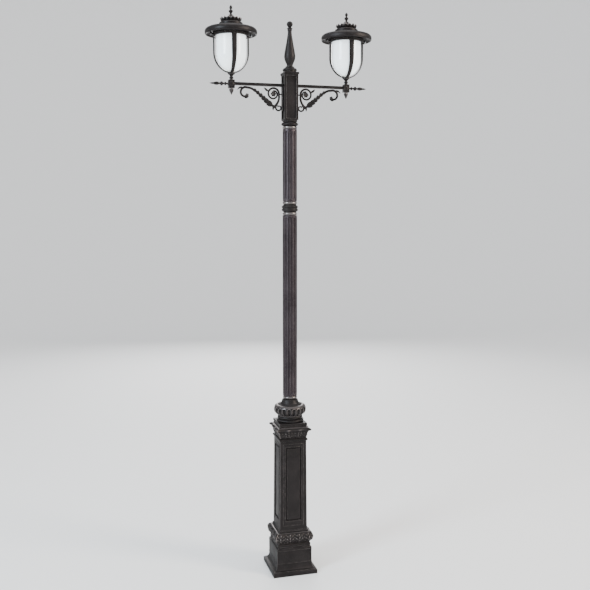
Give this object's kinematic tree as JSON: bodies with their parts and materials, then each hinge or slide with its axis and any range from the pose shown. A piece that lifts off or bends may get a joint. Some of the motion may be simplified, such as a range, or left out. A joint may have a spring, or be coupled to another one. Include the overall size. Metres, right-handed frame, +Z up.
{
  "type": "street lamp post",
  "caption": "Street lamp post with a square panelled pedestal, a fluted column, scroll-bracketed arms, and bell-shaped lanterns with hinged roofs.",
  "frame": {"origin": "centre of the base at ground level, on the post's axis", "axes": "+Z up the post, +X along the right arm, -Y the front, +Y the side with the access door"},
  "size_m": [1.458, 0.44, 4.948],
  "materials": {
    "cast_iron": "antique black-brown paint, semi-gloss, worn brighter on the edges",
    "fluted_iron": "antique black-brown hammered paint with a fine speckle",
    "steel": "galvanised",
    "opal": "white opal, glossy",
    "rubber": "matt black",
    "porcelain": "glazed",
    "lamp_glass": "frosted",
    "grey_plastic": "moulded"
  },
  "bodies": {
    "post": {"anchor_plate": "steel", "anchor_bolt_1": "steel", "anchor_bolt_2": "steel", "anchor_bolt_3": "steel", "anchor_bolt_4": "steel", "core_tube": "steel", "plinth": "cast_iron", "leaf_band": "cast_iron", "pedestal": "cast_iron", "door_pintle_lower": "cast_iron", "door_pintle_upper": "cast_iron", "fuse_box": "grey_plastic", "capital": "cast_iron", "capital_rings": "cast_iron", "gadroon_collar": "cast_iron", "bell_collar": "cast_iron", "lower_shaft": "fluted_iron", "mid_collar": "cast_iron", "upper_shaft": "fluted_iron", "neck_ring": "cast_iron", "head_box": "cast_iron", "head_cap": "cast_iron", "spire_stud": "steel", "spire": "cast_iron", "left_arm": "cast_iron", "left_scroll_bracket": "cast_iron", "left_end_block": "cast_iron", "left_end_finial": "cast_iron", "left_pendant": "cast_iron", "left_cup": "cast_iron", "left_cage": "cast_iron", "left_gallery": "cast_iron", "left_globe": "opal", "left_gasket": "rubber", "left_lamp_holder": "porcelain", "left_bulb": "lamp_glass", "left_hinge_pin": "steel", "right_arm": "cast_iron", "right_scroll_bracket": "cast_iron", "right_end_block": "cast_iron", "right_end_finial": "cast_iron", "right_pendant": "cast_iron", "right_cup": "cast_iron", "right_cage": "cast_iron", "right_gallery": "cast_iron", "right_globe": "opal", "right_gasket": "rubber", "right_lamp_holder": "porcelain", "right_bulb": "lamp_glass", "right_hinge_pin": "steel"},
    "door": {"access_door": "cast_iron"},
    "door_cam_lock": {"door_lock": "steel"},
    "left_lid": {"left_roof": "cast_iron", "left_crown": "cast_iron", "left_roof_finial": "cast_iron"},
    "left_lid_screw": {"left_thumbscrew": "steel"},
    "right_lid": {"right_roof": "cast_iron", "right_crown": "cast_iron", "right_roof_finial": "cast_iron"},
    "right_lid_screw": {"right_thumbscrew": "steel"}
  },
  "joints": [
    {"name": "access_door_hinge", "type": "hinge", "parent": "post", "child": "door", "pos_m": [0.079, 0.12639, 0.81754], "axis": [0, 0.0074, -1], "range_deg": [0, 110]},
    {"name": "door_lock_turn", "type": "hinge", "parent": "door", "child": "door_cam_lock", "pos_m": [-0.055, 0.10889, 0.81741], "axis": [0, 1, 0.0074], "range_deg": [0, 90]},
    {"name": "left_lid_hinge", "type": "hinge", "parent": "post", "child": "left_lid", "pos_m": [-0.681, 0, 4.704], "axis": [0, -1, 0], "range_deg": [0, 95]},
    {"name": "left_lid_screw_turn", "type": "hinge", "parent": "left_lid", "child": "left_lid_screw", "pos_m": [-0.345, 0, 4.704], "axis": [1, 0, 0], "range_deg": [0, 720]},
    {"name": "right_lid_hinge", "type": "hinge", "parent": "post", "child": "right_lid", "pos_m": [0.337, 0, 4.704], "axis": [0, -1, 0], "range_deg": [0, 95]},
    {"name": "right_lid_screw_turn", "type": "hinge", "parent": "right_lid", "child": "right_lid_screw", "pos_m": [0.673, 0, 4.704], "axis": [1, 0, 0], "range_deg": [0, 720]}
  ]
}
